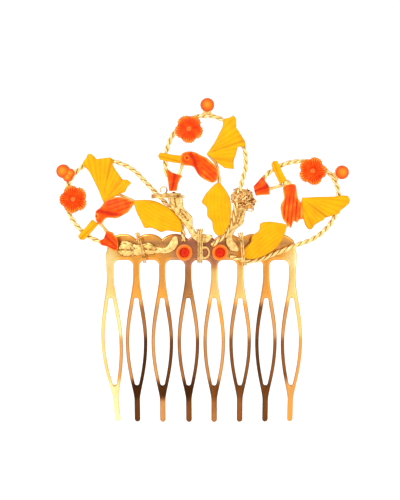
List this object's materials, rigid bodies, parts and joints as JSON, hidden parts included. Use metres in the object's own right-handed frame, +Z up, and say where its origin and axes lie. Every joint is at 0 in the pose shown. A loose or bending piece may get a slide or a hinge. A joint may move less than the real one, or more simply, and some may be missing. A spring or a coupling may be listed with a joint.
{
  "type": "decorative hair comb",
  "caption": "Metal hair comb with slender eyed teeth and three oval medallions, each an enamelled hummingbird with flowers in a rope frame, wired over the bar.",
  "frame": {"origin": "middle of the comb's bar, half way through its thickness, level with the tops of the gaps between the teeth", "axes": "+Z up towards the ornament, the teeth hang along -Z, the ornament's front faces -Y, the wearer's head is towards +Y"},
  "size_m": [0.0793, 0.0138, 0.0877],
  "materials": {
    "comb_gold": "polished gold plating, mirror smooth, rose tint",
    "cast_gold": "bright gold-plated casting with darker hollows",
    "wire_gold": "drawn gold-plated wire, bright",
    "yellow_enamel": "opaque enamel, satin gloss",
    "orange_enamel": "opaque enamel, satin gloss",
    "bead_orange": "domed glossy enamel bead",
    "red_enamel": "glossy enamel set in a cup"
  },
  "bodies": {
    "root": {"comb_plate": "comb_gold", "left_rope_frame": "cast_gold", "left_leaf_branch": "cast_gold", "left_head_strut": "cast_gold", "left_back_strip": "cast_gold", "left_bird_body": "orange_enamel", "left_bird_wing": "yellow_enamel", "left_bird_tail": "yellow_enamel", "left_bird_beak": "yellow_enamel", "left_tulip": "orange_enamel", "left_daisy": "orange_enamel", "left_daisy_button": "orange_enamel", "left_tip_cup": "cast_gold", "left_tip_bead": "bead_orange", "left_end_cup": "orange_enamel", "left_end_stone": "red_enamel", "centre_rope_frame": "cast_gold", "centre_leaf_branch": "cast_gold", "centre_head_strut": "cast_gold", "centre_back_strip": "cast_gold", "centre_bird_body": "orange_enamel", "centre_bird_wing": "yellow_enamel", "centre_bird_tail": "yellow_enamel", "centre_bird_beak": "yellow_enamel", "centre_tulip": "orange_enamel", "centre_daisy": "orange_enamel", "centre_daisy_button": "orange_enamel", "centre_tip_cup": "cast_gold", "centre_tip_bead": "bead_orange", "centre_end_ring": "cast_gold", "right_rope_frame": "cast_gold", "right_leaf_branch": "cast_gold", "right_head_strut": "cast_gold", "right_back_strip": "cast_gold", "right_bird_body": "orange_enamel", "right_bird_wing": "yellow_enamel", "right_bird_tail": "yellow_enamel", "right_bird_beak": "yellow_enamel", "right_tulip": "orange_enamel", "right_daisy": "orange_enamel", "right_daisy_button": "orange_enamel", "right_tip_cup": "cast_gold", "right_tip_bead": "bead_orange", "right_end_cup": "orange_enamel", "right_end_stone": "red_enamel", "bar_wrap_left": "wire_gold", "bar_wrap_right": "wire_gold", "centre_wrap": "wire_gold", "left_tie": "wire_gold", "right_tie": "wire_gold"}
  },
  "joints": []
}
